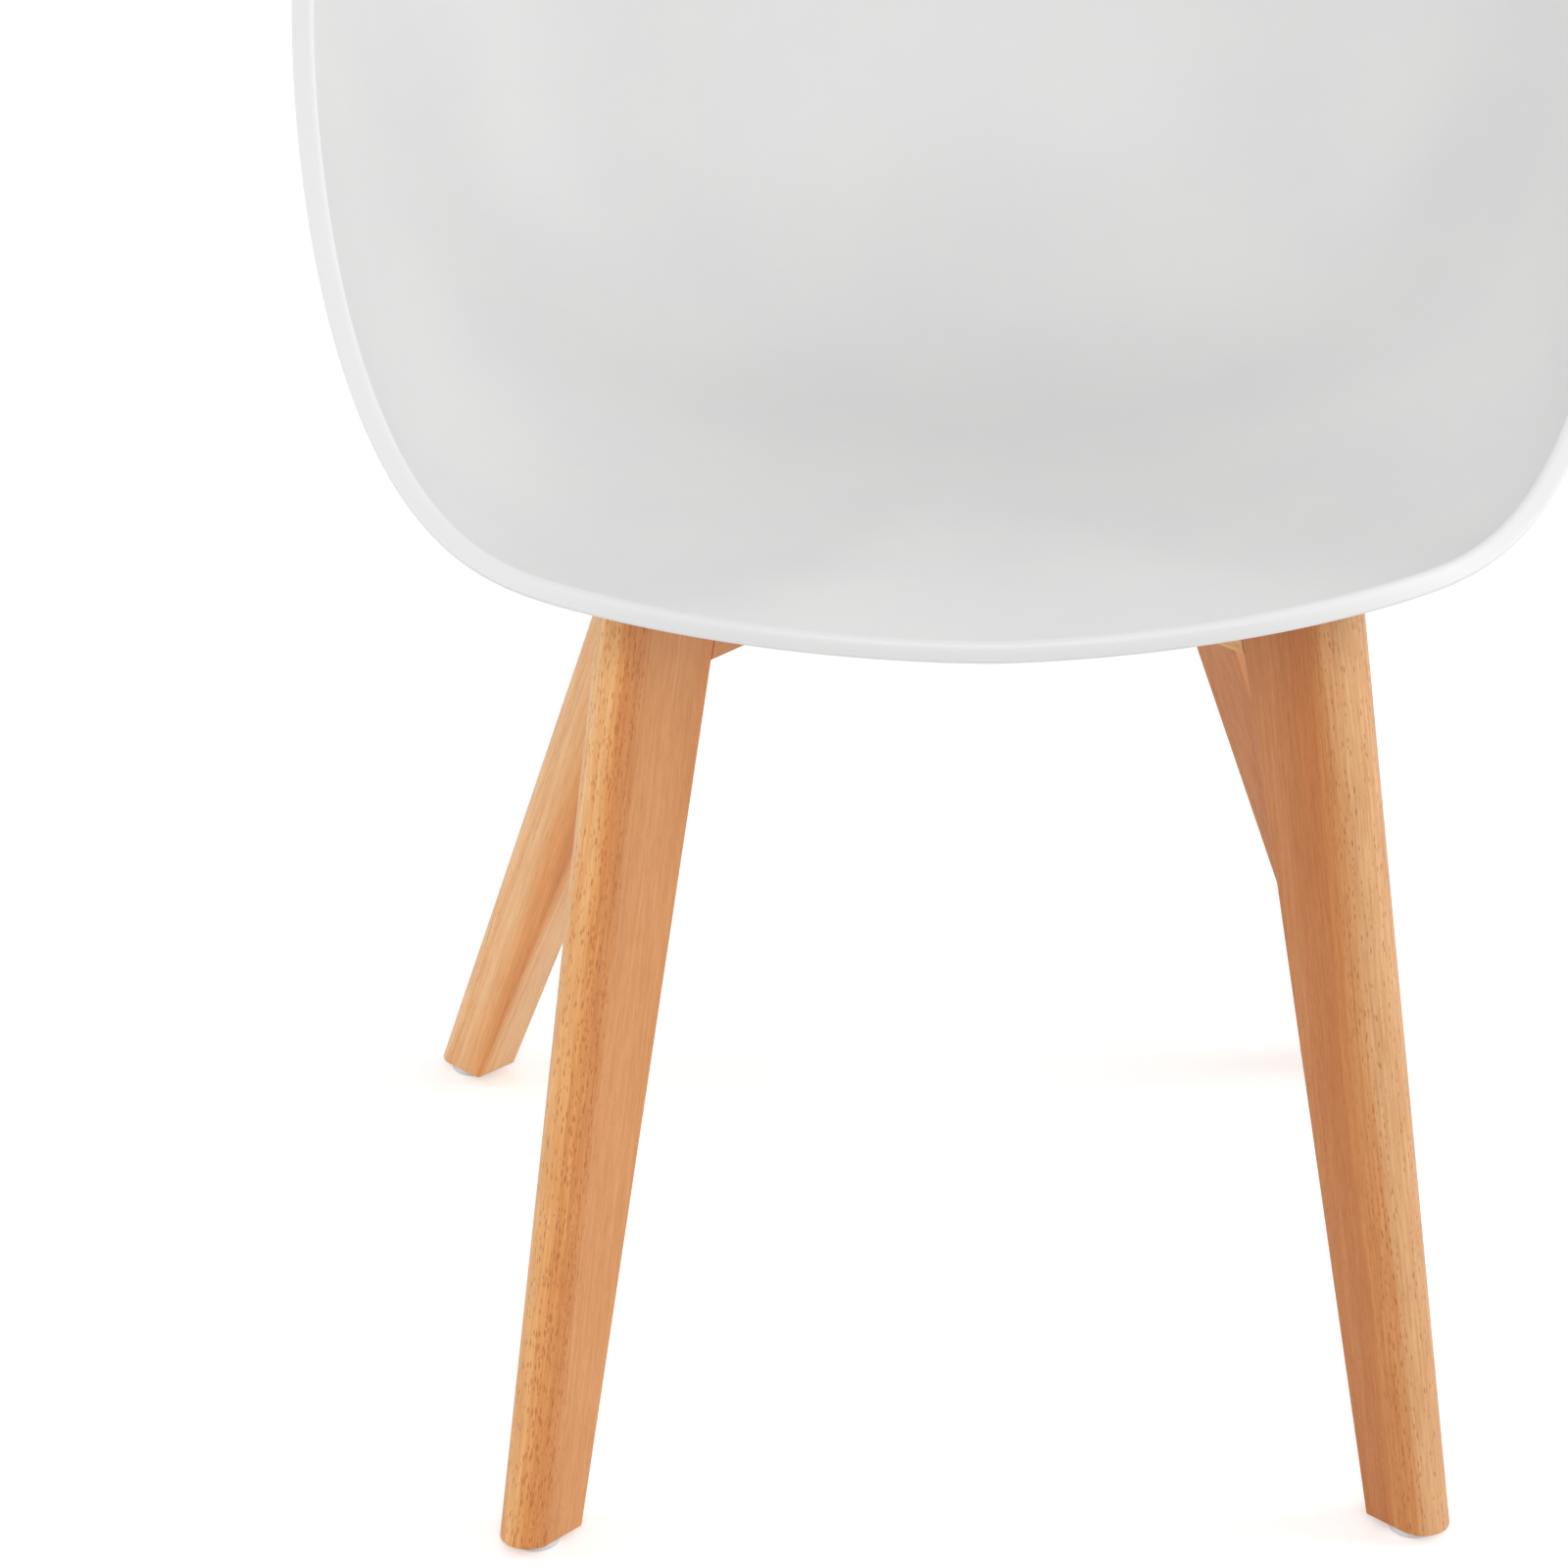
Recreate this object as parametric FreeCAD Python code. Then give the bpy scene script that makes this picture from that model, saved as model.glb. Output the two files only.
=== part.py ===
import FreeCAD, Part
import math
import os

"""Moulded plastic armchair shell on a crossed wooden base with four legs.

Millimetres, +Z up. The chair faces -Y, and left and right are those of someone who looks at its front,
so +X is right. The origin is on the floor, below the middle of the rim's outline.
"""

Vector = FreeCAD.Vector
os.makedirs("parts", exist_ok=True)

# Shell: plan outline of the rim, a superellipse round the origin
rim_half_width = 292.0
rim_half_depth = 268.0
rim_roundness = 2.3

# Shell: heights, from the lowest point of the seat's upper face
seat_low = 433.0
seat_low_y = 6.0
front_edge_rise = 8.0
front_edge_bow = 20.0
bow_power = 1.4
arm_rise = 254.0
back_rise = 357.0
arm_start_angle = 38.0
arm_end_angle = 112.0
back_start_angle = 98.0

# Shell: slope of the wall at the rim, in degrees above level, and fullness of its profile
front_slope_angle = 0.0
side_slope_angle = 80.0
back_slope_angle = 77.0
slope_start_angle = 10.0
slope_end_angle = 80.0
front_reach = 0.5
side_reach = 0.78
back_reach = 0.66
level_start = 0.45
edge_run_share = 0.35
edge_rise_share = 0.74

# Shell: wall, rim band and screw bosses
shell_wall = 5.0
rim_thickness = 9.5
rim_inner_round = 3.0
rim_outer_round = 1.5
rim_swell_start = 0.9
boss_radius = 11.0
boss_circle = 100.0

# Base: rails, legs and their joints, with reaches from where the rails cross
base_centre_y = -14.0
rail_clearance = 9.0
rail_height = 24.0
diagonal_angle = 43.0
leg_thickness = 25.0
leg_width_top = 57.0
leg_width_foot = 34.5
leg_top_rise = 10.0
arris_round = 1.2
front_reach_top = 237.5
front_reach_foot = 304.0
rear_reach_top = 193.0
rear_reach_foot = 356.5
lap_gap = 0.1
dowel_radius = 4.0
dowel_length = 40.0
dowel_spacing = 12.0
dowel_gap = 0.05
dowel_end_room = 1.0

# Fixings between the base and the shell
pad_thickness = 2.0
pad_radius = 11.0
screw_radius = 3.0
screw_bite = 7.0
screw_head_radius = 5.0
screw_head_height = 4.6
screw_head_chamfer = 0.4
screw_hole_gap = 0.3
socket_radius = 1.9
socket_depth = 2.6
washer_radius = 6.2
washer_thickness = 1.6
counterbore_radius = 6.6
counterbore_depth = 8.0
insert_radius = 4.2
insert_length = 8.0
insert_gap = 0.05

# Glides under the feet
glide_radius = 11.0
glide_height = 4.5
glide_sole_radius = 8.5
glide_bevel_height = 1.8
nail_radius = 1.25
nail_length = 18.0
nail_head_radius = 3.5
nail_head_height = 1.0
nail_recess = 1.2
nail_gap = 0.05

rail_top = seat_low - shell_wall - rail_clearance
rail_bottom = rail_top - rail_height
rail_middle = rail_bottom + rail_height / 2
leg_top = rail_top + leg_top_rise
boss_bottom = rail_top + pad_thickness
screw_seat = rail_bottom + counterbore_depth - washer_thickness
screw_length = boss_bottom - screw_seat + screw_bite
UP = Vector(0, 0, 1)

# How finely the shell's curves are worked out
angle_count = 56
wall_stations = (0.1, 0.22, 0.36, 0.5, 0.62, 0.74, 0.84, 0.91, 0.96)
seat_stations = 5
cap_station = 0.03
corner_turns = (0.0, 30.0, 60.0, 90.0)
difference_step = 0.002
angles = [2 * math.pi * k / angle_count for k in range(angle_count)]


def smooth(t):
    """Rises from 0 to 1 with level ends: 6t^5 - 15t^4 + 10t^3."""
    t = min(max(t, 0.0), 1.0)
    return t * t * t * (t * (6 * t - 15) + 10)


def around(theta, front, side, back):
    """A value that passes from front to side to back as the plan angle goes from 0 to pi."""
    turn = abs(math.atan2(math.sin(theta), math.cos(theta))) / math.pi
    if turn < 0.5:
        return front + (side - front) * smooth(2 * turn)
    return side + (back - side) * smooth(2 * turn - 1)


def sweep(theta, start, end):
    """0 before the plan angle start and 1 after end, both in degrees from the front."""
    turn = abs(math.degrees(math.atan2(math.sin(theta), math.cos(theta))))
    return smooth((turn - start) / (end - start))


def rim_height(theta):
    """Height of the rim's outer edge: a bowed front lip, a steep sweep to the arms, then the back."""
    turn = abs(math.atan2(math.sin(theta), math.cos(theta)))
    bow = front_edge_bow * math.sin(min(turn, math.pi / 2)) ** bow_power
    arm = (arm_rise - front_edge_rise - front_edge_bow) * sweep(theta, arm_start_angle, arm_end_angle)
    back = (back_rise - arm_rise) * sweep(theta, back_start_angle, 180.0)
    return seat_low + front_edge_rise + bow + arm + back


def rim_edge(theta):
    """Outer edge of the rim at the plan angle theta, 0 at the front, pi at the back."""
    along_y = abs(math.cos(theta) / rim_half_depth) ** rim_roundness
    along_x = abs(math.sin(theta) / rim_half_width) ** rim_roundness
    radius = (along_x + along_y) ** (-1 / rim_roundness)
    return Vector(radius * math.sin(theta), -radius * math.cos(theta), rim_height(theta))


def rim_frame(theta):
    """Directions at the rim: outwards in plan, along the wall, and through its thickness to the inside."""
    edge = rim_edge(theta)
    tangent = (rim_edge(theta + difference_step) - rim_edge(theta - difference_step)).normalize()
    outwards = Vector(edge.x, edge.y - seat_low_y, 0).normalize()
    rise = sweep(theta, slope_start_angle, slope_end_angle)
    upright = around(theta, side_slope_angle, side_slope_angle, back_slope_angle)
    slope = math.radians(front_slope_angle + (upright - front_slope_angle) * rise)
    wall = outwards * math.cos(slope) + UP * math.sin(slope)
    return outwards, wall, wall.cross(tangent).normalize()


def seat_point(theta, t):
    """Upper face: a quartic curve from the seat's lowest point, t = 0, to the rim's inner edge, t = 1.

    Its first three control points are level, so the seat's middle is flat and smooth from all sides. The
    fourth lies back along the wall from the rim, on an ellipse whose half axes are shares of the curve's
    run and rise, so that a level lip and an upright wall both stay smooth.
    """
    outwards, wall, inwards = rim_frame(theta)
    start = Vector(0, seat_low_y, seat_low)
    end = rim_edge(theta) + inwards * rim_thickness
    run = math.hypot(end.x - start.x, end.y - start.y)
    rise = end.z - start.z
    back = 1 / math.hypot(wall.dot(outwards) / (edge_run_share * run), wall.z / (edge_rise_share * rise))
    level = outwards * (run * around(theta, front_reach, side_reach, back_reach))
    controls = (start, start + level * level_start, start + level, end - wall * back, end)
    shares = (1, 4, 6, 4, 1)
    point = Vector()
    for k, control in enumerate(controls):
        point += control * (shares[k] * (1 - t)**(4 - k) * t**k)
    return point


def seat_normal(theta, t):
    """Normal of the upper face, pointing into the seat."""
    step = difference_step
    along_rim = seat_point(theta + step, t) - seat_point(theta - step, t)
    along_wall = seat_point(theta, t) - seat_point(theta, t - step)
    return along_wall.cross(along_rim).normalize()


def wall_at(t):
    """Wall thickness, which swells to the rim band's near the edge."""
    return shell_wall + (rim_thickness - shell_wall) * smooth((t - rim_swell_start) / (1 - rim_swell_start))


def ring(point_at):
    """Closed smooth curve through one point for each plan angle."""
    curve = Part.BSplineCurve()
    curve.interpolate(Points=[point_at(theta) for theta in angles], PeriodicFlag=True)
    return Part.Wire([curve.toShape()])


def face_ring(t, depth):
    """Ring at t, the given share of the wall below the upper face."""
    return ring(lambda theta: seat_point(theta, t) - seat_normal(theta, t) * (wall_at(t) * depth))


def cap_ring(depth):
    """Small level ring round the seat's lowest point, closed by a flat disc."""
    height = seat_low - shell_wall * depth

    def point_at(theta):
        point = seat_point(theta, cap_station)
        return Vector(point.x, point.y, height)

    return ring(point_at)


def band_point(theta, inset, depth):
    """Point on the rim band: inset back from the edge face, depth below the upper face."""
    wall = rim_frame(theta)[1]
    return seat_point(theta, 1) - wall * inset - seat_normal(theta, 1) * depth


def band_rings():
    """Rings that turn the two rounded corners of the rim band and cross its face."""
    places = []
    for turn in corner_turns:
        a = math.radians(turn)
        places.append((rim_inner_round * (1 - math.sin(a)), rim_inner_round * (1 - math.cos(a))))
    for turn in reversed(corner_turns):
        a = math.radians(turn)
        depth = rim_thickness - rim_outer_round * (1 - math.cos(a))
        places.append((rim_outer_round * (1 - math.sin(a)), depth))
    return [ring(lambda theta, p=place: band_point(theta, *p)) for place in places]


def diagonal(sx, sy):
    """Directions of a leg's plane: outwards from the crossing, and across its thickness."""
    a = math.radians(diagonal_angle)
    out = Vector(sx * math.sin(a), sy * math.cos(a), 0)
    return out, UP.cross(out)


def spot(sx, sy, reach, z=0.0):
    """Point in a leg's plane, at a distance from the crossing and a height."""
    return Vector(0, base_centre_y, z) + diagonal(sx, sy)[0] * reach


corners = {"front_left": (-1, -1), "front_right": (1, -1), "rear_left": (-1, 1), "rear_right": (1, 1)}
screw_places = {name: spot(sx, sy, boss_circle) for name, (sx, sy) in corners.items()}


def cylinder(radius, height, base, axis=UP):
    return Part.makeCylinder(radius, height, base, axis)


def bowl(depth):
    """Closed solid over the seat, whose floor lies the given share of the wall below the upper face."""
    sides = [cap_ring(depth)] + [face_ring(t, depth) for t in wall_stations[:seat_stations]]
    lid = Part.Wire([Part.makeCircle(boss_radius, Vector(0, seat_low_y, seat_low + back_rise))])
    surfaces = [Part.makeLoft(sides, False, False), Part.makeLoft([sides[-1], lid], False, True)]
    faces = [face for surface in surfaces for face in surface.Faces]
    faces += [Part.Face(sides[0]), Part.Face(lid)]
    return sewn_solid(faces)


def sewn_solid(faces):
    """Solid inside faces that meet edge to edge."""
    skin = Part.Compound(faces)
    skin.sewShape()
    solid = Part.Solid(skin.Shells[0] if skin.Shells else skin)
    return solid if solid.Volume > 0 else solid.reversed()


def make_shell():
    """Seat shell: upper face, rim band and underside as one wall, with four blind screw bosses."""
    bands = band_rings()
    upper = [cap_ring(0)] + [face_ring(t, 0) for t in wall_stations] + [bands[0]]
    lower = [bands[-1]] + [face_ring(t, 1) for t in reversed(wall_stations)] + [cap_ring(1)]
    surfaces = [Part.makeLoft(upper, False, False), Part.makeLoft(bands, False, True),
                Part.makeLoft(lower, False, False)]
    faces = [face for surface in surfaces for face in surface.Faces]
    faces += [Part.Face(upper[0]), Part.Face(lower[-1])]
    shell = sewn_solid(faces)
    over_seat = bowl(0.5)
    for place in screw_places.values():
        boss = cylinder(boss_radius, back_rise, place + UP * boss_bottom).cut(over_seat)
        boss = min(boss.Solids, key=lambda solid: solid.BoundBox.ZMin)
        shell = shell.fuse(boss)
    for place in screw_places.values():
        room = cylinder(insert_radius + insert_gap, insert_length + insert_gap, place + UP * boss_bottom)
        shell = shell.cut(room)
    return shell


def leg_reach(sy, z):
    """Distances from the crossing to a leg's outer and inner edges at the height z."""
    top, foot = (front_reach_top, front_reach_foot) if sy < 0 else (rear_reach_top, rear_reach_foot)
    share = (z - glide_height) / (rail_bottom - glide_height)
    outer = foot + (top - foot) * share
    return outer, outer - leg_width_foot - (leg_width_top - leg_width_foot) * share


def leg_section(sx, sy, z):
    """Level section of a leg: flat inner face and sides with rounded arrises, outer edge a half round."""
    outer, inner = leg_reach(sy, z)
    across = diagonal(sx, sy)[1]
    half = leg_thickness / 2
    flat = half - arris_round
    turned = arris_round * (1 - math.sqrt(0.5))

    def at(reach, aside):
        return spot(sx, sy, reach, z) + across * aside

    def arris(side):
        return (at(inner + arris_round, side * half), at(inner + turned, side * (half - turned)),
                at(inner, side * flat))

    left, right = arris(-1), arris(1)
    return Part.Wire([Part.LineSegment(at(outer - half, -half), left[0]).toShape(),
                      Part.Arc(*left).toShape(),
                      Part.LineSegment(left[2], right[2]).toShape(),
                      Part.Arc(*reversed(right)).toShape(),
                      Part.LineSegment(right[0], at(outer - half, half)).toShape(),
                      Part.Arc(at(outer - half, half), at(outer, 0), at(outer - half, -half)).toShape()])


def dowel_places(sx, sy):
    """Centre and direction of the two dowels of a leg's joint, one above the other."""
    inner = leg_reach(sy, rail_middle)[1]
    return [(spot(sx, sy, inner, rail_middle + side * dowel_spacing / 2), diagonal(sx, sy)[0])
            for side in (-1, 1)]


def dowel_bores(sx, sy):
    """Solids to bore for the dowels, longer than them by the end room at both ends."""
    length = dowel_length + 2 * dowel_end_room
    return [cylinder(dowel_radius + dowel_gap, length, centre - out * (length / 2), out)
            for centre, out in dowel_places(sx, sy)]


def glide_place(sx, sy):
    """Centre of a glide on the floor: the middle of the leg's foot."""
    outer, inner = leg_reach(sy, glide_height)
    return spot(sx, sy, (outer + inner) / 2)


def make_leg(sx, sy):
    """Leg: straight taper in its diagonal plane, up past the rail, bored for two dowels and a glide nail."""
    leg = Part.makeLoft([leg_section(sx, sy, glide_height), leg_section(sx, sy, leg_top)], True, True)
    for bore in dowel_bores(sx, sy):
        leg = leg.cut(bore)
    nail_room = nail_length + nail_gap
    return leg.cut(cylinder(nail_radius + nail_gap, nail_room, glide_place(sx, sy) + UP * nail_recess))


def rail_blank(sx):
    """Rail from the front leg on the side sx to the opposite rear leg, its long arrises rounded, uncut."""
    ends = [spot(sx, -1, leg_reach(-1, z)[1], z) for z in (rail_bottom, rail_top)]
    ends += [spot(-sx, 1, leg_reach(1, z)[1], z) for z in (rail_top, rail_bottom)]
    across = diagonal(sx, -1)[1]
    outline = [end - across * (leg_thickness / 2) for end in ends]
    blank = Part.Face(Part.makePolygon(outline + outline[:1])).extrude(across * leg_thickness)
    return blank.makeFillet(arris_round, [edge for edge in blank.Edges if edge.Length > 2 * leg_thickness])


def lap_room(sx, upper_half):
    """Solid to cut from a rail where the rail on the side sx crosses it in its upper or lower half."""
    across = diagonal(sx, -1)[1]
    half = leg_thickness / 2 + lap_gap
    reach = 2 * leg_thickness
    base, top = (rail_middle - lap_gap, rail_top + rail_height) if upper_half else (0, rail_middle)
    outline = [spot(sx, -1, along, base) + across * aside
               for along, aside in ((-reach, -half), (reach, -half), (reach, half), (-reach, half))]
    return Part.Face(Part.makePolygon(outline + outline[:1])).extrude(UP * (top - base))


def make_rail(sx, upper_half):
    """Rail that gives up the stated half at the crossing, bored for its screws and dowels."""
    rail = rail_blank(sx).cut(lap_room(-sx, upper_half))
    for sy, side in ((-1, sx), (1, -sx)):
        for bore in dowel_bores(side, sy):
            rail = rail.cut(bore)
        place = spot(side, sy, boss_circle, rail_bottom)
        rail = rail.cut(cylinder(counterbore_radius, counterbore_depth, place))
        rail = rail.cut(cylinder(screw_radius + screw_hole_gap, rail_height, place))
    return rail


def make_pad(place):
    """Rubber pad between a rail and a boss, with a hole for the screw."""
    base = place + UP * rail_top
    return cylinder(pad_radius, pad_thickness, base).cut(
        cylinder(screw_radius + screw_hole_gap, pad_thickness, base))


def make_insert(place):
    """Threaded brass insert, flush with the boss."""
    base = place + UP * boss_bottom
    return cylinder(insert_radius, insert_length, base).cut(
        cylinder(screw_radius + insert_gap, insert_length, base))


def make_washer(place):
    base = place + UP * screw_seat
    return cylinder(washer_radius, washer_thickness, base).cut(
        cylinder(screw_radius + screw_hole_gap, washer_thickness, base))


def make_screw(place):
    """Cap screw with a hexagon socket, its head under the washer."""
    seat = place + UP * screw_seat
    head_base = seat - UP * screw_head_height
    head = cylinder(screw_head_radius, screw_head_height, head_base)
    rim = [edge for edge in head.Edges if edge.BoundBox.ZMax < seat.z - screw_head_height / 2]
    head = head.makeChamfer(screw_head_chamfer, rim)
    socket = Part.Face(Part.makePolygon([
        head_base + Vector(socket_radius * math.cos(a), socket_radius * math.sin(a), 0)
        for a in [math.pi / 3 * k for k in range(7)]])).extrude(UP * socket_depth)
    return head.fuse(cylinder(screw_radius, screw_length, seat)).removeSplitter().cut(socket)


def make_dowels(sx, sy):
    return [cylinder(dowel_radius, dowel_length, centre - out * (dowel_length / 2), out)
            for centre, out in dowel_places(sx, sy)]


def make_glide(sx, sy):
    """Plastic disc with a bevelled sole and a recess for the nail's head."""
    base = glide_place(sx, sy)
    outline = [base + Vector(radius, 0, height) for radius, height in (
        (0, 0), (glide_sole_radius, 0), (glide_radius, glide_bevel_height),
        (glide_radius, glide_height), (0, glide_height))]
    disc = Part.Face(Part.makePolygon(outline + outline[:1])).revolve(base, UP, 360)
    head_room = cylinder(nail_head_radius + nail_gap, nail_recess, base)
    return disc.cut(head_room).cut(cylinder(nail_radius + nail_gap, glide_height, base))


def make_nail(sx, sy):
    base = glide_place(sx, sy)
    shank_base = base + UP * nail_recess
    head = cylinder(nail_head_radius, nail_head_height, shank_base - UP * nail_head_height)
    return head.fuse(cylinder(nail_radius, nail_length, shank_base)).removeSplitter()


def save(name, *solids):
    shape = solids[0] if len(solids) == 1 else Part.Compound(list(solids))
    shape.exportStep("parts/" + name + ".step")


save("seat_shell", make_shell())
for name, (sx, sy) in corners.items():
    save("leg_" + name, make_leg(sx, sy))
    save("dowels_" + name, *make_dowels(sx, sy))
    save("glide_" + name, make_glide(sx, sy))
    save("pad_" + name, make_pad(screw_places[name]))
save("rail_lower_lap", make_rail(-1, True))
save("rail_upper_lap", make_rail(1, False))
save("threaded_inserts", *[make_insert(place) for place in screw_places.values()])
save("shell_screws", *[make_screw(place) for place in screw_places.values()])
save("screw_washers", *[make_washer(place) for place in screw_places.values()])
save("glide_nails", *[make_nail(sx, sy) for sx, sy in corners.values()])
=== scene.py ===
import math

import bpy
import numpy as np
from mathutils import Matrix, Vector


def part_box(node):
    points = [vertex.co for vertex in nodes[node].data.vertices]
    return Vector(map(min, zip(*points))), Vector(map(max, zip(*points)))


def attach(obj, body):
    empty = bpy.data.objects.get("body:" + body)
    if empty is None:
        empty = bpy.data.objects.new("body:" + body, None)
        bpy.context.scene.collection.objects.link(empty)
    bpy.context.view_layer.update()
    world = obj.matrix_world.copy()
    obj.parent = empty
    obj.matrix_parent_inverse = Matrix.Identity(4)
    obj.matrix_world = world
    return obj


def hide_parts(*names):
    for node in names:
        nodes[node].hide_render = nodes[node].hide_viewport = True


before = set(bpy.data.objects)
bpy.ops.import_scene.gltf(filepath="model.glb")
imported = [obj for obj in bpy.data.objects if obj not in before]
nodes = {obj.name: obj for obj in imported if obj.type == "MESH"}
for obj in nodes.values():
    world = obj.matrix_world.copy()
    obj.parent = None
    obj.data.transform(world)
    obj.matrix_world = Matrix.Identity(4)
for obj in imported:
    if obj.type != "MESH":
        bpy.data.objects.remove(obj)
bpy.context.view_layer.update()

# Legs: four tapered lengths of solid beech, one in each half of the two diagonal planes. The outer edge is
# moulded to a half round, the inner edge and the sides are planed flat, and every arris is sanded soft. They
# have a clear satin lacquer, and each is glued to the end of a rail with two dowels.
corners = {"front_left": (-1, -1), "front_right": (1, -1), "rear_left": (-1, 1), "rear_right": (1, 1)}
crossing = np.array([0.0, -0.014, 0.0])
up = np.array([0.0, 0.0, 1.0])
diagonal_angle = math.radians(43.0)
leg_thickness = 0.025
leg_width_top = 0.057
leg_width_foot = 0.0345
leg_reach = {-1: (0.304, 0.2375), 1: (0.3565, 0.193)}
leg_arris = 0.0012
leg_least_arris = 0.0004
leg_end_arris = 0.0009
leg_end_insets = (0.012, 0.006)
leg_side_shares = (0.0, 0.03, 0.25, 0.5, 0.75, 0.97)
leg_face_shares = (-0.94, -0.5, 0.0, 0.5, 0.94)
leg_heights = (0.01, 0.1, 0.3, 0.5, 0.7, 0.9, 0.99)
leg_foot_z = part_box("leg_front_left")[0].z
leg_top_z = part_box("leg_front_left")[1].z
rail_bottom_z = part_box("rail_lower_lap")[0].z


def srgb(red, green, blue):
    """Linear colour of display values from 0 to 255."""
    values = np.array([red, green, blue]) / 255
    linear = np.where(values <= 0.04045, values / 12.92, ((values + 0.055) / 1.055) ** 2.4)
    return (*linear.tolist(), 1.0)


def leg_directions(sx, sy):
    """Level unit vectors at the rails' crossing: out along a leg's diagonal, and square to it."""
    out = np.array([sx * math.sin(diagonal_angle), sy * math.cos(diagonal_angle), 0.0])
    return out, np.array([-out[1], out[0], 0.0])


def leg_frame(sx, sy):
    """Origin and axes of a leg's timber: across its thickness, outwards from its outer edge, up along it."""
    out = leg_directions(sx, sy)[0]
    foot_reach, top_reach = leg_reach[sy]
    foot = crossing + out * foot_reach + up * leg_foot_z
    top = crossing + out * top_reach + up * rail_bottom_z
    along = (top - foot) / np.linalg.norm(top - foot)
    outwards = out - along * (out @ along)
    outwards /= np.linalg.norm(outwards)
    return foot, np.column_stack([np.cross(outwards, along), outwards, along])


def leg_outline(outer, inner, half, arris):
    """Level section as reach and offset pairs: a flat side, a small quarter turn, the flat inner edge,
    another quarter turn, the other side, and a half circle of half the thickness round the outer edge."""
    quarter = np.linspace(0, math.pi / 2, 6)
    side_reach = (outer - half) + np.array(leg_side_shares) * (inner + arris - outer + half)
    side = np.column_stack([side_reach, np.full(len(side_reach), -half)])
    turn = np.column_stack([inner + arris * (1 - np.sin(quarter)), -half + arris * (1 - np.cos(quarter))])
    face = np.column_stack([np.full(len(leg_face_shares), inner), (half - arris) * np.array(leg_face_shares)])
    round_edge = np.linspace(math.pi / 2, -math.pi / 2, 33)[:-1]
    tip = np.column_stack([outer - half + half * np.cos(round_edge), half * np.sin(round_edge)])
    first = np.vstack([side, turn, face])
    second = np.vstack([turn[::-1], side[:0:-1]]) * [1, -1]
    return np.vstack([first, second, tip])


def leg_rows(sx, sy):
    """Sections from the foot to the top: the foot's edge turns through a quarter circle, then the outline
    tapers in a straight line, and the top's edge turns back. Each end face is closed by smaller outlines."""
    out, across = leg_directions(sx, sy)
    height = leg_top_z - leg_foot_z
    ends = [(0.0, inset) for inset in leg_end_insets]
    for turn in np.linspace(0, math.pi / 2, 5):
        ends.append((leg_end_arris * (1 - math.cos(turn)), leg_end_arris * (1 - math.sin(turn))))
    middle = [(height * share, 0.0) for share in leg_heights]
    stations = ends + middle + [(height - rise, inset) for rise, inset in reversed(ends)]
    foot_reach, top_reach = leg_reach[sy]
    rows = []
    for rise, inset in stations:
        share = rise / (rail_bottom_z - leg_foot_z)
        outer = foot_reach + (top_reach - foot_reach) * share
        inner = outer - leg_width_foot - (leg_width_top - leg_width_foot) * share
        arris = max(leg_arris - inset, leg_least_arris)
        outline = leg_outline(outer - inset, inner + inset, leg_thickness / 2 - inset, arris)
        place = crossing + up * (leg_foot_z + rise)
        rows.append(place + outline[:, :1] * out + outline[:, 1:] * across)
    return np.array(rows)


def closed_faces(rows, first):
    """Points and faces over a grid whose columns go round it. Each cell is a face, and the first and the last
    row are closed by a fan to their middle point. All faces are turned over if the volume is negative."""
    count, columns = rows.shape[:2]
    points = np.vstack([rows.reshape(-1, 3), rows[0].mean(0), rows[-1].mean(0)])
    row, column = np.meshgrid(np.arange(count - 1), np.arange(columns), indexing="ij")
    beside = (column + 1) % columns
    quads = np.stack([row * columns + column, row * columns + beside,
                      (row + 1) * columns + beside, (row + 1) * columns + column], -1).reshape(-1, 4)
    ring = np.arange(columns)
    following = (ring + 1) % columns
    last = (count - 1) * columns
    poles = np.full((2, columns), [[count * columns], [count * columns + 1]])
    fans = np.vstack([np.column_stack([poles[0], following, ring]),
                      np.column_stack([poles[1], last + ring, last + following])])
    middle = points.mean(0)
    a, b, c, d = (points[quads[:, k]] - middle for k in range(4))
    volume = (a * np.cross(b, c)).sum() + (a * np.cross(c, d)).sum()
    a, b, c = (points[fans[:, k]] - middle for k in range(3))
    volume += (a * np.cross(b, c)).sum()
    if volume < 0:
        quads, fans = quads[:, ::-1], fans[:, ::-1]
    return points.tolist(), (quads + first).tolist() + (fans + first).tolist()


def closed_surface(name, *grids):
    """Smooth-shaded piece of one or more closed grids of points."""
    points, faces = [], []
    for rows in grids:
        more_points, more_faces = closed_faces(rows, len(points))
        points += more_points
        faces += more_faces
    mesh = bpy.data.meshes.new(name)
    mesh.from_pydata(points, [], faces)
    mesh.shade_smooth()
    piece = bpy.data.objects.new(name, mesh)
    bpy.context.collection.objects.link(piece)
    return piece


def add(tree, kind, inputs=None, **settings):
    """Node of a kind in a tree, with its settings, and its inputs linked or set."""
    node = tree.nodes.new("ShaderNode" + kind)
    for name, value in settings.items():
        setattr(node, name, value)
    for key, value in (inputs or {}).items():
        if isinstance(value, bpy.types.NodeSocket):
            tree.links.new(value, node.inputs[key])
        else:
            node.inputs[key].default_value = value
    return node


def maths(tree, operation, *values):
    """One sum, product or comparison of values or sockets."""
    return add(tree, "Math", dict(enumerate(values)), operation=operation).outputs[0]


def spread(tree, value, low, high, to_low, to_high):
    """A value carried from one range to another, held at both ends."""
    return add(tree, "MapRange", {"Value": value, "From Min": low, "From Max": high,
                                  "To Min": to_low, "To Max": to_high}).outputs[0]


def stretched(tree, vector, scale):
    """A place multiplied along each axis, to set how many cells or waves lie in a metre."""
    return add(tree, "VectorMath", {0: vector, 1: scale}, operation="MULTIPLY").outputs[0]


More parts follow.
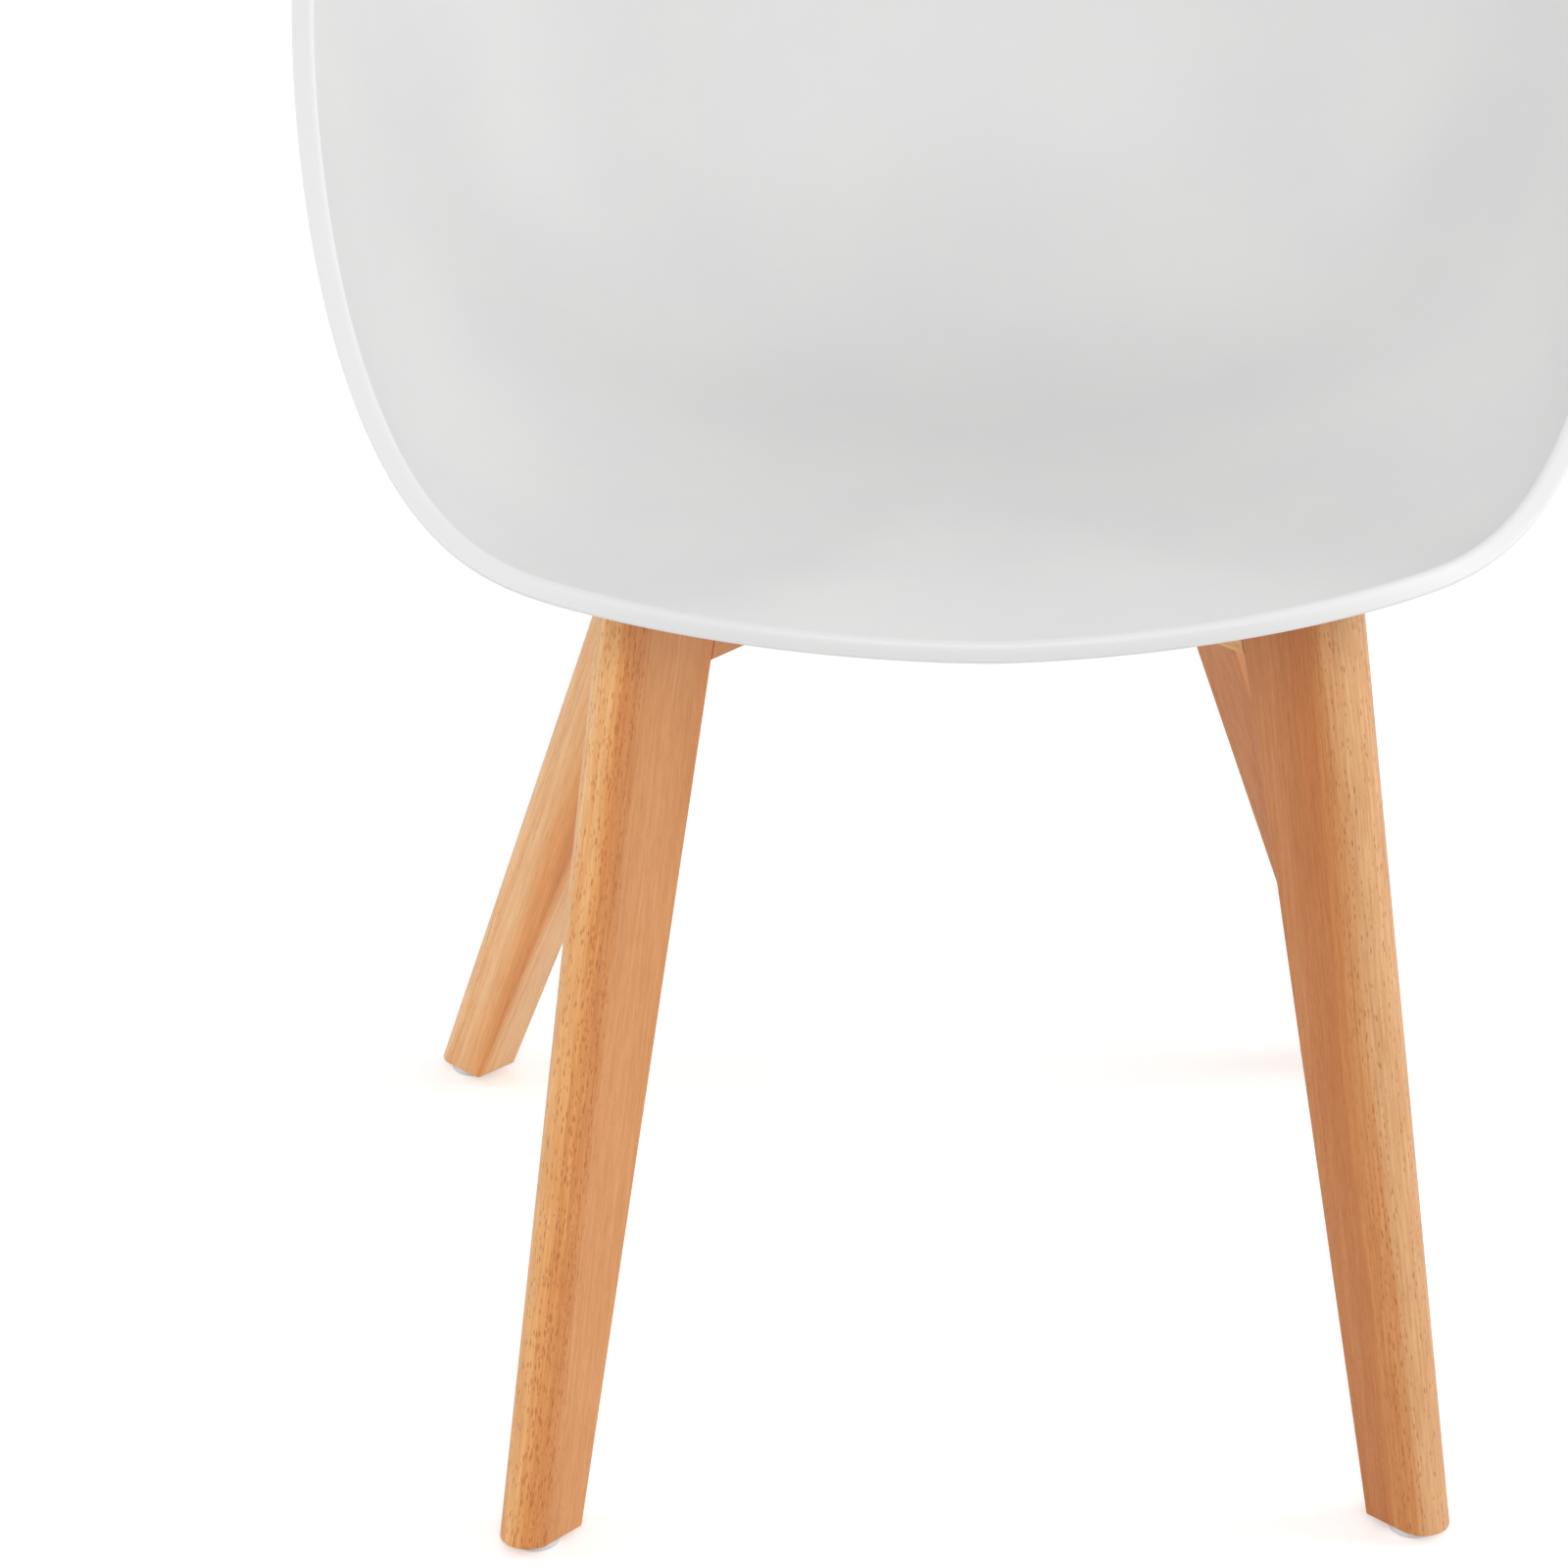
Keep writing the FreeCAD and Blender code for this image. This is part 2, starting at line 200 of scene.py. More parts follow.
def tinted(tree, colour, other, share, how="MIX"):
    """A colour mixed with, or multiplied by, another."""
    return add(tree, "Mix", {0: share, 6: colour, 7: other}, data_type="RGBA", blend_type=how).outputs[2]


def effect(name, takes, gives):
    """Node group with named inputs and outputs, and the sockets inside that carry them."""
    tree = bpy.data.node_groups.new(name, "ShaderNodeTree")
    for label, kind, value in takes:
        socket = tree.interface.new_socket(label, in_out="INPUT", socket_type="NodeSocket" + kind)
        if value is not None:
            socket.default_value = value
    for label, kind in gives:
        tree.interface.new_socket(label, in_out="OUTPUT", socket_type="NodeSocket" + kind)
    return tree, tree.nodes.new("NodeGroupInput").outputs, tree.nodes.new("NodeGroupOutput").inputs


# Beech figure, in metres of the timber's own axes: rings across the second axis, grain up the third
beech, given, result = effect(
    "beech_figure",
    [("Timber", "Vector", None), ("Ring Turn", "Float", 0.0), ("Ring Offset", "Float", 0.0),
     ("Seed", "Float", 0.0), ("Dashes", "Float", 1.0), ("Tone", "Color", (1.0, 1.0, 1.0, 1.0))],
    [("Color", "Color"), ("Roughness", "Float"), ("Height", "Float")])
streaks_per_metre = (750.0, 750.0, 24.0)
fibres_per_metre = (1600.0, 1600.0, 110.0)
mottle_per_metre = (60.0, 60.0, 22.0)
rays_per_metre = (980.0, 980.0, 210.0)
bands_per_metre = (22.0, 300.0, 2.2)
wander_per_metre = (16.0, 16.0, 3.2)
wander_reach = 0.012
ray_brown = (184, 98, 44)
flat_place = add(beech, "SeparateXYZ", {0: given["Timber"]})
turned = add(beech, "VectorRotate", {"Vector": given["Timber"], "Angle": given["Ring Turn"]},
             rotation_type="Z_AXIS").outputs[0]
wander = add(beech, "TexNoise", {"Vector": stretched(beech, turned, wander_per_metre), "Scale": 1.0,
                                 "Detail": 2.0, "W": given["Seed"]}, noise_dimensions="4D").outputs[0]
shift = maths(beech, "MULTIPLY_ADD", wander, wander_reach,
              maths(beech, "SUBTRACT", given["Ring Offset"], wander_reach / 2))
timber = add(beech, "SeparateXYZ", {0: turned})
ring_place = maths(beech, "ADD", timber.outputs[1], shift)
grain_place = add(beech, "CombineXYZ", {0: timber.outputs[0], 1: ring_place,
                                        2: timber.outputs[2]}).outputs[0]
bands = add(beech, "TexNoise", {"Vector": stretched(beech, grain_place, bands_per_metre), "Scale": 1.0,
                                "Detail": 3.0, "W": given["Seed"]}, noise_dimensions="4D").outputs[0]
depth = maths(beech, "ADD", spread(beech, ring_place, -0.055, 0.005, 0.0, 1.0),
              spread(beech, bands, 0.25, 0.75, -0.09, 0.09))
figure = add(beech, "ValToRGB", {0: depth})
figure_stops = [(0.02, (234, 150, 86)), (0.14, (229, 158, 97)), (0.36, (234, 165, 106)),
                (0.6, (231, 161, 101)), (0.68, (223, 148, 86)), (0.745, (226, 146, 79)),
                (0.81, (238, 164, 93)), (0.88, (244, 180, 114)), (0.97, (251, 198, 138))]
while len(figure.color_ramp.elements) < len(figure_stops):
    figure.color_ramp.elements.new(0.5)
for element, (position, tone) in zip(figure.color_ramp.elements, figure_stops):
    element.position = position
    element.color = srgb(*tone)

# Long streaks, a soft mottle and fine fibres make the tone lighter and darker
streaks = add(beech, "TexNoise", {"Vector": stretched(beech, grain_place, streaks_per_metre),
                                  "Scale": 1.0, "Detail": 3.0, "Roughness": 0.65}).outputs[0]
mottle = add(beech, "TexNoise", {"Vector": stretched(beech, grain_place, mottle_per_metre), "Scale": 1.0,
                                 "Detail": 3.0}).outputs[0]
fibres = add(beech, "TexNoise", {"Vector": stretched(beech, grain_place, fibres_per_metre),
                                 "Scale": 1.0, "Detail": 2.0}).outputs[0]
light = maths(beech, "ADD", spread(beech, streaks, 0.3, 0.7, 0.90, 1.09),
              spread(beech, mottle, 0.3, 0.7, -0.045, 0.045))
light = maths(beech, "ADD", light, spread(beech, fibres, 0.3, 0.7, -0.075, 0.075))

# Short ray flecks: one in each cell of a pattern drawn out along the grain, larger in the deep rings
ray_cell = add(beech, "TexVoronoi", {"Vector": stretched(beech, grain_place, rays_per_metre),
                                     "Scale": 1.0})
ray_pick = add(beech, "SeparateColor", {0: ray_cell.outputs["Color"]})
deep_rings = maths(beech, "MULTIPLY", spread(beech, depth, 0.55, 0.7, 0.0, 0.16),
                   spread(beech, depth, 0.78, 0.95, 1.0, 0.2))
ray_size = maths(beech, "ADD", spread(beech, ray_pick.outputs[0], 0.0, 1.0, 0.06, 0.42), deep_rings)
inside_ray = maths(beech, "SUBTRACT", ray_size, ray_cell.outputs["Distance"])
ray_depth = spread(beech, inside_ray, 0.0, 0.2, 0.0, 1.0)

# The flat inner half of a leg shows fewer flecks and streaks than its round edge
edge_grain = spread(beech, flat_place.outputs[1], -0.017, -0.009, 0.28, 1.0)
ray = maths(beech, "MULTIPLY", maths(beech, "MULTIPLY", ray_depth, given["Dashes"]), edge_grain)
coarse = maths(beech, "MULTIPLY", spread(beech, streaks, 0.3, 0.7, -0.12, 0.1), edge_grain)
light = maths(beech, "ADD", light, coarse)

# A darker streak is also a warmer one, so green and blue swing further than red
shade = add(beech, "CombineColor", {0: maths(beech, "MULTIPLY_ADD", light, 0.6, 0.4), 1: light,
                                    2: maths(beech, "MULTIPLY_ADD", light, 1.5, -0.5)}).outputs[0]
wood = tinted(beech, figure.outputs[0], shade, 1.0, "MULTIPLY")
wood = tinted(beech, wood, srgb(*ray_brown), maths(beech, "MULTIPLY", ray, 0.6))
wood = tinted(beech, wood, given["Tone"], 1.0, "MULTIPLY")
beech.links.new(wood, result["Color"])
rough = maths(beech, "ADD", spread(beech, streaks, 0.3, 0.7, 0.36, 0.46), maths(beech, "MULTIPLY", ray, 0.1))
beech.links.new(rough, result["Roughness"])
relief = maths(beech, "SUBTRACT", maths(beech, "MULTIPLY", streaks, 0.5), maths(beech, "MULTIPLY", ray, 0.4))
beech.links.new(relief, result["Height"])


def finish(name, **values):
    """Material with a Principled shader, whose plain values are set on its own sockets."""
    material = bpy.data.materials.new(name)
    material.use_nodes = True
    shader = material.node_tree.nodes["Principled BSDF"]
    for label, value in values.items():
        shader.inputs[label.replace("_", " ")].default_value = value
    return material, material.node_tree, shader


def lacquered_beech(name, origin, axes, ring_turn, ring_offset, seed, dashes, tone):
    """Beech whose grain follows the timber's axes, under a clear satin lacquer that fills most of it."""
    material, tree, shader = finish(name, Specular_IOR_Level=0.45, Coat_Weight=0.18, Coat_Roughness=0.22)
    place = add(tree, "TexCoord").outputs["Object"]
    turn = Matrix(axes.tolist()).to_euler()
    timber_place = add(tree, "Mapping", {"Vector": place, "Location": origin.tolist(), "Rotation": turn},
                       vector_type="TEXTURE").outputs[0]
    figure_of = add(tree, "Group", {}, node_tree=beech)
    tree.links.new(timber_place, figure_of.inputs["Timber"])
    values = {"Ring Turn": ring_turn, "Ring Offset": ring_offset, "Seed": seed, "Dashes": dashes,
              "Tone": tone}
    for label, value in values.items():
        figure_of.inputs[label].default_value = value
    tree.links.new(figure_of.outputs["Color"], shader.inputs["Base Color"])
    tree.links.new(figure_of.outputs["Roughness"], shader.inputs["Roughness"])
    bump = add(tree, "Bump", {"Height": figure_of.outputs["Height"], "Strength": 0.5, "Distance": 0.00012})
    tree.links.new(bump.outputs[0], shader.inputs["Normal"])
    return material


# Each leg's figure, as if cut from another board: rings' turn and offset, seed, strength of rays; then a tone
# that darkens the two right-hand legs and makes the rear left one paler and bluer
leg_figures_and_tones = {"front_left": (0.55, 0.0, 1.3, 1.0, (1.0, 1.0, 1.0, 1.0)),
          "front_right": (-1.1, 0.011, 4.7, 0.9, (0.83, 0.76, 0.76, 1.0)),
          "rear_left": (1.2, 0.016, 8.2, 0.35, (1.07, 1.07, 1.17, 1.0)),
          "rear_right": (0.3, 0.02, 12.9, 0.6, (0.87, 0.78, 0.78, 1.0))}
for corner, (sx, sy) in corners.items():
    foot, axes = leg_frame(sx, sy)
    leg = closed_surface("beech_leg_" + corner, leg_rows(sx, sy))
    leg.data.materials.append(lacquered_beech("beech_" + corner, foot, axes, *leg_figures_and_tones[corner]))
    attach(leg, "root")
    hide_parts("leg_" + corner)

# Rails: two straight beech bars that cross in a half lap under the middle of the seat and butt against the
# legs' flat inner edges. Their long arrises are rounded over, and they carry the same clear lacquer.
rail_board = (0.4, 0.0)
rail_rays = 0.6
rail_tone = (0.98, 0.97, 0.95, 1.0)
for name, sx, seed in (("rail_lower_lap", -1, 21.0), ("rail_upper_lap", 1, 34.0)):
    along = leg_directions(sx, -1)[0]
    sideways = np.cross(along, up)
    axes = np.column_stack([up, sideways, along])
    origin = crossing + up * rail_bottom_z + sideways * (leg_thickness / 2)
    nodes[name].data.materials.clear()
    nodes[name].data.materials.append(
        lacquered_beech("beech_" + name, origin, axes, *rail_board, seed, rail_rays, rail_tone))

# Dowels: turned beech pegs, a little paler than the rest, glued half into the leg and half into the rail's
# end. They are hidden once the joint is closed.
dowel_board = (0.2, 0.01, 3.0, 0.5, (1.05, 1.06, 1.08, 1.0))
for corner, (sx, sy) in corners.items():
    out = leg_directions(sx, sy)[0]
    axes = np.column_stack([up, np.cross(out, up), out])
    peg = nodes["dowels_" + corner]
    peg.data.materials.clear()
    peg.data.materials.append(
        lacquered_beech("dowel_" + corner, crossing + up * rail_bottom_z, axes, *dowel_board))

# Glides: moulded discs of white nylon with a rounded sole edge, nailed up into the end grain of each foot so
# that a thin white crescent shows below the wood.
glide_radius = 0.011
glide_sole_radius = 0.0085
glide_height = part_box("glide_front_left")[1].z
glide_edge = 0.0018
glide_face_ring = 0.006
glide_ease = 0.0004
glide_top_ease = 0.0003
nail_room_radius = 0.00355
nail_room_depth = 0.0012


def turned_piece(name, profile, place, columns=64):
    """Closed piece of revolution: a profile of radius and height pairs carried round an upright line."""
    angle = np.linspace(0, 2 * math.pi, columns, endpoint=False)
    radius, height = np.array(profile).T[:, :, None]
    rows = np.stack([place[0] + radius * np.cos(angle), place[1] + radius * np.sin(angle),
                     place[2] + height + 0 * angle], -1)
    return closed_surface(name, rows)


def arc_profile(centre_radius, centre_height, radius_across, radius_up, start, end, count=7):
    """Part of an ellipse in the profile's plane, between two angles in degrees."""
    angle = np.radians(np.linspace(start, end, count))
    return np.column_stack([centre_radius + radius_across * np.cos(angle),
                            centre_height + radius_up * np.sin(angle)])


# Fine texture of moulded and cast surfaces: a soft cloudiness and a fine even grain
moulded, given, result = effect(
    "moulded_texture",
    [("Place", "Vector", None), ("Grain per metre", "Float", 2200.0), ("Cloud per metre", "Float", 14.0)],
    [("Cloud", "Float"), ("Grain", "Float")])
cloud = add(moulded, "TexNoise", {"Vector": given["Place"], "Scale": given["Cloud per metre"],
                                  "Detail": 3.0})
grain = add(moulded, "TexNoise", {"Vector": given["Place"], "Scale": given["Grain per metre"],
                                  "Detail": 2.0})
moulded.links.new(spread(moulded, cloud.outputs[0], 0.25, 0.75, 0.0, 1.0), result["Cloud"])
moulded.links.new(grain.outputs[0], result["Grain"])


def moulded_finish(name, dark, pale, smooth_side, rough_side, grain_scale, grain_depth, **values):
    """Plastic, rubber or metal: two close tones and roughnesses mixed by a soft cloud, over a fine grain."""
    material, tree, shader = finish(name, **values)
    texture = add(tree, "Group", node_tree=moulded)
    tree.links.new(add(tree, "TexCoord").outputs["Object"], texture.inputs["Place"])
    texture.inputs["Grain per metre"].default_value = grain_scale
    colour = tinted(tree, srgb(*dark), srgb(*pale), texture.outputs["Cloud"])
    tree.links.new(colour, shader.inputs["Base Color"])
    rough = maths(tree, "ADD", spread(tree, texture.outputs["Cloud"], 0.0, 1.0, smooth_side, rough_side),
                  spread(tree, texture.outputs["Grain"], 0.3, 0.7, -0.02, 0.02))
    tree.links.new(rough, shader.inputs["Roughness"])
    bump = add(tree, "Bump", {"Height": texture.outputs["Grain"], "Strength": 0.35, "Distance": grain_depth})
    tree.links.new(bump.outputs[0], shader.inputs["Normal"])
    return material


nylon = moulded_finish("white_nylon", (240, 240, 239), (247, 247, 246), 0.34, 0.42, 3000.0, 0.00002)
edge_start = glide_sole_radius - glide_ease
nail_room = [(nail_room_radius, nail_room_depth), (nail_room_radius, glide_ease),
             (nail_room_radius + glide_ease, 0.0)]
glide_profile = np.vstack([
    nail_room, [(glide_face_ring, 0.0)],
    arc_profile(edge_start, glide_edge, glide_radius - edge_start, glide_edge, -90, 0),
    [(glide_radius, glide_height - glide_ease), (glide_radius - glide_top_ease, glide_height)],
    [(glide_face_ring, glide_height)]])
for corner in corners:
    low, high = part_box("glide_" + corner)
    place = ((low.x + high.x) / 2, (low.y + high.y) / 2, low.z)
    glide = turned_piece("nylon_glide_" + corner, glide_profile, place)
    glide.data.materials.append(nylon)
    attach(glide, "root")
    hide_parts("glide_" + corner)

# Glide nails: zinc-plated steel, driven through the glides from below, with flat heads sunk below the sole
plated = moulded_finish("zinc_plated_steel", (150, 151, 153), (178, 179, 181), 0.28, 0.4, 5000.0, 0.00001,
                        Metallic=1.0)
nodes["glide_nails"].data.materials.clear()
nodes["glide_nails"].data.materials.append(plated)

# Pads: black rubber washers on the rails, one below each boss of the shell, squeezed when the screws are
# drawn up. They keep the plastic off the wood and let the shell give a little.
rubber = moulded_finish("black_rubber", (22, 22, 22), (34, 34, 33), 0.6, 0.75, 1500.0, 0.00004)
pad_radius = 0.011
pad_round = 0.0005
pad_bore = 0.0034
pad_bore_ease = 0.0003
pad_face_ring = 0.007
for corner in corners:
    low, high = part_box("pad_" + corner)
    thickness = high.z - low.z
    below = [(pad_bore, pad_round), (pad_bore + pad_bore_ease, 0.0), (pad_face_ring, 0.0)]
    above = [(radius, thickness - height) for radius, height in reversed(below)]
    edge_centre = pad_radius - pad_round
    pad_profile = np.vstack([
        below, arc_profile(edge_centre, pad_round, pad_round, pad_round, -90, 0),
        arc_profile(edge_centre, thickness - pad_round, pad_round, pad_round, 0, 90), above])
    place = ((low.x + high.x) / 2, (low.y + high.y) / 2, low.z)
    pad = turned_piece("rubber_pad_" + corner, pad_profile, place)
    pad.data.materials.append(rubber)
    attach(pad, "root")
    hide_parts("pad_" + corner)

# Seat shell: seat, back and arms injection-moulded in one from satin white polypropylene, five millimetres
# thick, with a thicker band round the rim that a fine moulded line sets off from the seat. Four round bosses
# stand down from its underside, with brass inserts moulded in, and are screwed to the rails.
rim_half_width = 0.292
rim_half_depth = 0.268
rim_roundness = 2.3
seat_low = 0.433
seat_low_y = 0.006
front_edge_rise = 0.008
front_edge_bow = 0.020
bow_power = 1.4
arm_rise = 0.254
back_rise = 0.357
arm_start_angle = 38
arm_end_angle = 112
back_start_angle = 98
side_slope_angle = 80
back_slope_angle = 77
slope_start_angle = 10
slope_end_angle = 80
front_reach = 0.5
side_reach = 0.78
back_reach = 0.66
level_start = 0.45
edge_run_share = 0.35
edge_rise_share = 0.74
shell_wall = 0.005
rim_thickness = 0.0095
rim_inner_round = 0.003
rim_outer_round = 0.0015
rim_line_depth = 0.0005
rim_line_width = 0.0009
rim_line_inset = 0.0014
rim_face_depths = (0.0045, 0.0062)
rim_distances = (0.016, 0.010, 0.0062, 0.0042, 0.0032, 0.0026, 0.0022, 0.0018, 0.0014, 0.0010, 0.0006,
                 0.0002, 0.0)
thickening_start = 0.9
shell_columns = 288
shell_stations = 84
first_station = 0.012
last_even_distance = 0.022
angle_step = 0.002


def smooth(t):
    """Rises from 0 to 1 with level ends: six times the fifth power, less fifteen times the fourth, plus ten
    times the third."""
    t = np.clip(t, 0, 1)
    return t ** 3 * (t * (6 * t - 15) + 10)


def plan_turn(theta):
    """Plan angle from the front as a positive angle up to half a turn."""
    return np.abs(np.arctan2(np.sin(theta), np.cos(theta)))


def swept(theta, start, end):
    """0 before the plan angle start and 1 after end, both in degrees from the front."""
    return smooth((np.degrees(plan_turn(theta)) - start) / (end - start))


def around(theta, front, side, back):
    """A value that passes smoothly from front to side to back."""
    turn = plan_turn(theta) / math.pi
    return np.where(turn < 0.5, front + (side - front) * smooth(2 * turn),
                    side + (back - side) * smooth(2 * turn - 1))


def unit(vectors):
    """Vectors divided by their lengths."""
    return vectors / np.linalg.norm(vectors, axis=-1, keepdims=True)


def rim_edge(theta):
    """Outer edge of the rim: a superellipse in plan, at the height of a bowed front lip that sweeps up to the
    arms and then to the back."""
    radius = (np.abs(np.cos(theta) / rim_half_depth) ** rim_roundness
              + np.abs(np.sin(theta) / rim_half_width) ** rim_roundness) ** (-1 / rim_roundness)
    bow = front_edge_bow * np.sin(np.minimum(plan_turn(theta), math.pi / 2)) ** bow_power
    arm = (arm_rise - front_edge_rise - front_edge_bow) * swept(theta, arm_start_angle, arm_end_angle)
    back = (back_rise - arm_rise) * swept(theta, back_start_angle, 180)
    height = seat_low + front_edge_rise + bow + arm + back
    return np.stack([radius * np.sin(theta), -radius * np.cos(theta), height], -1)


def rim_frame(theta):
    """Rim edge, outwards in plan, along the wall, and through the wall to the inside."""
    edge = rim_edge(theta)
    tangent = unit(rim_edge(theta + angle_step) - rim_edge(theta - angle_step))
    outwards = unit((edge - [0, seat_low_y, 0]) * [1, 1, 0])
    upright = around(theta, side_slope_angle, side_slope_angle, back_slope_angle)
    slope = np.radians(upright * swept(theta, slope_start_angle, slope_end_angle))[..., None]
    wall = outwards * np.cos(slope) + up * np.sin(slope)
    return edge, outwards, wall, unit(np.cross(wall, tangent))


def wall_end(theta):
    """Inner rim edge, its run from the seat's lowest point, how far back along the wall the fourth control
    point lies, on an ellipse whose half axes are shares of the run and the rise, and the directions there."""
    edge, outwards, wall, inwards = rim_frame(theta)
    end = edge + inwards * rim_thickness
    run = np.hypot(end[..., 0], end[..., 1] - seat_low_y)
    rise = end[..., 2] - seat_low
    back = 1 / np.hypot((wall * outwards).sum(-1) / (edge_run_share * run),
                        wall[..., 2] / (edge_rise_share * rise))
    return end, run, back, outwards, wall


def seat_point(theta, t):
    """Upper face: a quartic curve from the seat's lowest point, t = 0, to the rim's inner edge, t = 1. Its
    first three control points are level and the fourth lies back along the wall from the rim."""
    end, run, back, outwards, wall = wall_end(theta)
    start = np.array([0.0, seat_low_y, seat_low])
    level = outwards * (run * around(theta, front_reach, side_reach, back_reach))[..., None]
    controls = (start, start + level * level_start, start + level, end - wall * back[..., None], end)
    t = t[..., None]
    return sum(share * (1 - t) ** (4 - k) * t ** k * control
               for k, (share, control) in enumerate(zip((1, 4, 6, 4, 1), controls)))


def seat_normal(theta, t):
    """Normal of the upper face, pointing into the seat."""
    along_rim = seat_point(theta + angle_step, t) - seat_point(theta - angle_step, t)
    along_wall = seat_point(theta, t) - seat_point(theta, t - angle_step)
    return unit(np.cross(along_wall, along_rim))


def wall_stations(theta):
    """Stations along the wall for each column: even from the middle, then at set distances from the rim. There
    a unit of t is worth four times the distance between the curve's last two control points."""
    reach = wall_end(theta)[2] * 4
    far = np.linspace(first_station, 1, shell_stations)[:, None] * (1 - last_even_distance / reach)
    return np.vstack([far, 1 - np.array(rim_distances)[:, None] / reach])


columns = np.linspace(0, 2 * math.pi, shell_columns, endpoint=False)
stations = wall_stations(columns)
thetas = np.broadcast_to(columns, stations.shape)
upper = seat_point(thetas, stations)
normals = seat_normal(thetas, stations)
from_rim = (1 - stations) * wall_end(columns)[2] * 4
line = rim_line_depth * np.exp(-((from_rim - rim_line_inset) / rim_line_width) ** 2)
thickening = smooth((stations - thickening_start) / (1 - thickening_start))
thickness = shell_wall + (rim_thickness - shell_wall) * thickening
under = upper - normals * thickness[..., None]

# Section of the rim: a quarter turn at the inner corner, the face, and a smaller turn at the outer corner
inner_corner = upper[-1]
rim_wall = rim_frame(columns)[2]
corner_turn = np.linspace(0, math.pi / 2, 8)[1:]
insets = np.concatenate([rim_inner_round * (1 - np.sin(corner_turn)), [0, 0],
                         rim_outer_round * (1 - np.sin(corner_turn[::-1])), [rim_outer_round]])
depths = np.concatenate([rim_inner_round * (1 - np.cos(corner_turn)), rim_face_depths,
                         rim_thickness - rim_outer_round * (1 - np.cos(corner_turn[::-1])), [rim_thickness]])
band = inner_corner - rim_wall * insets[:, None, None] - normals[-1] * depths[:, None, None]
start_of_band = inner_corner - rim_wall * rim_inner_round
upper = upper - normals * line[..., None]
keep = from_rim.min(1) > rim_inner_round
lower = under[from_rim.min(1) > rim_outer_round][::-1]
shell_rows = np.concatenate([upper[keep], start_of_band[None], band, lower])

# Bosses: round posts under the shell, one over each pad
boss_radius = 0.011
boss_circle = 0.100
boss_edge = 0.0006
boss_flare = 0.0022
boss_flare_height = 0.0035
boss_root = 0.002
boss_inner_share = 0.6
boss_columns = 48


def underside_height(plan):
    """Height of the shell's underside over plan points: on the tangent plane at the grid's nearest point."""
    spots, leans = under.reshape(-1, 3), normals.reshape(-1, 3)
    near = ((plan[:, None] - spots[:, :2]) ** 2).sum(-1).argmin(1)
    away = plan - spots[near, :2]
    return spots[near, 2] - (leans[near, :2] * away).sum(-1) / leans[near, 2]


def boss_rows(sx, sy):
    """Boss: a round post whose foot is eased, that flares where it grows out of the underside, and whose last
    ring lies inside the wall."""
    place = (crossing + leg_directions(sx, sy)[0] * boss_circle)[:2]
    angle = np.linspace(0, 2 * math.pi, boss_columns, endpoint=False)
    round_plan = np.column_stack([np.cos(angle), np.sin(angle)])
    top = underside_height(place + round_plan * boss_radius)
    foot = np.full(boss_columns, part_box("seat_shell")[0].z)
    rows = [(boss_radius * boss_inner_share, foot), (boss_radius - boss_edge, foot),
            (boss_radius, foot + boss_edge)]
    for turn in np.linspace(0, math.pi / 2, 6):
        height = np.maximum(top - boss_flare_height * (1 - math.sin(turn)), foot + 2 * boss_edge)
        rows.append((boss_radius + boss_flare * (1 - math.cos(turn)), height))
    rows.append((boss_radius * boss_inner_share, top + boss_root))
    return np.array([np.column_stack([place + round_plan * radius, height]) for radius, height in rows])


shell = closed_surface("moulded_shell", shell_rows, *[boss_rows(sx, sy) for sx, sy in corners.values()])

# Painted highlight: the rim's band is painted a shade paler than the seat, at the front mostly its inner
# corner, at the sides all of it
painted_highlight_rows = [0, 3, 6, 9]
painted_highlight_values = [0.0, 0.4, 0.9, 0.35]
painted_highlight_start_angle = 20
painted_highlight_end_angle = 60
painted_highlight_share = np.zeros(len(shell.data.vertices), np.float32)
band_start = keep.sum() * shell_columns
front_painted_highlight = np.interp(np.arange(len(band) + 1), painted_highlight_rows, painted_highlight_values)[:, None]
band_painted_highlight = front_painted_highlight + (1 - front_painted_highlight) * swept(columns, painted_highlight_start_angle, painted_highlight_end_angle)
painted_highlight_share[band_start:band_start + band_painted_highlight.size] = band_painted_highlight.ravel()
shell.data.attributes.new("band", "FLOAT", "POINT").data.foreach_set("value", painted_highlight_share)
polypropylene = moulded_finish("satin_white_polypropylene", (232, 232, 232), (236, 236, 235), 0.4, 0.46,
                               2600.0, 0.000025, Specular_IOR_Level=0.5)
tree = polypropylene.node_tree
shader = tree.nodes["Principled BSDF"]
# Painted highlight: the band attribute mixes the seat's colour towards a paler white
painted_highlight = add(tree, "Attribute", attribute_name="band").outputs["Fac"]
plain = shader.inputs["Base Color"].links[0].from_socket
tree.links.new(tinted(tree, plain, srgb(244, 244, 244), painted_highlight), shader.inputs["Base Color"])
shell.data.materials.append(polypropylene)
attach(shell, "root")
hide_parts("seat_shell")

# Threaded inserts: brass bushes moulded into the bosses, which take the shell screws. The pads hide them.
brass = moulded_finish("plain_brass", (188, 152, 84), (206, 170, 98), 0.3, 0.42, 4000.0, 0.00001,
                       Metallic=1.0)
nodes["threaded_inserts"].data.materials.clear()
nodes["threaded_inserts"].data.materials.append(brass)

# Screws and washers: zinc-plated steel cap screws with hexagon sockets, driven up through plain washers and
# the rails' counterbores into the inserts.
for name in ("shell_screws", "screw_washers"):
    nodes[name].data.materials.clear()
    nodes[name].data.materials.append(plated)

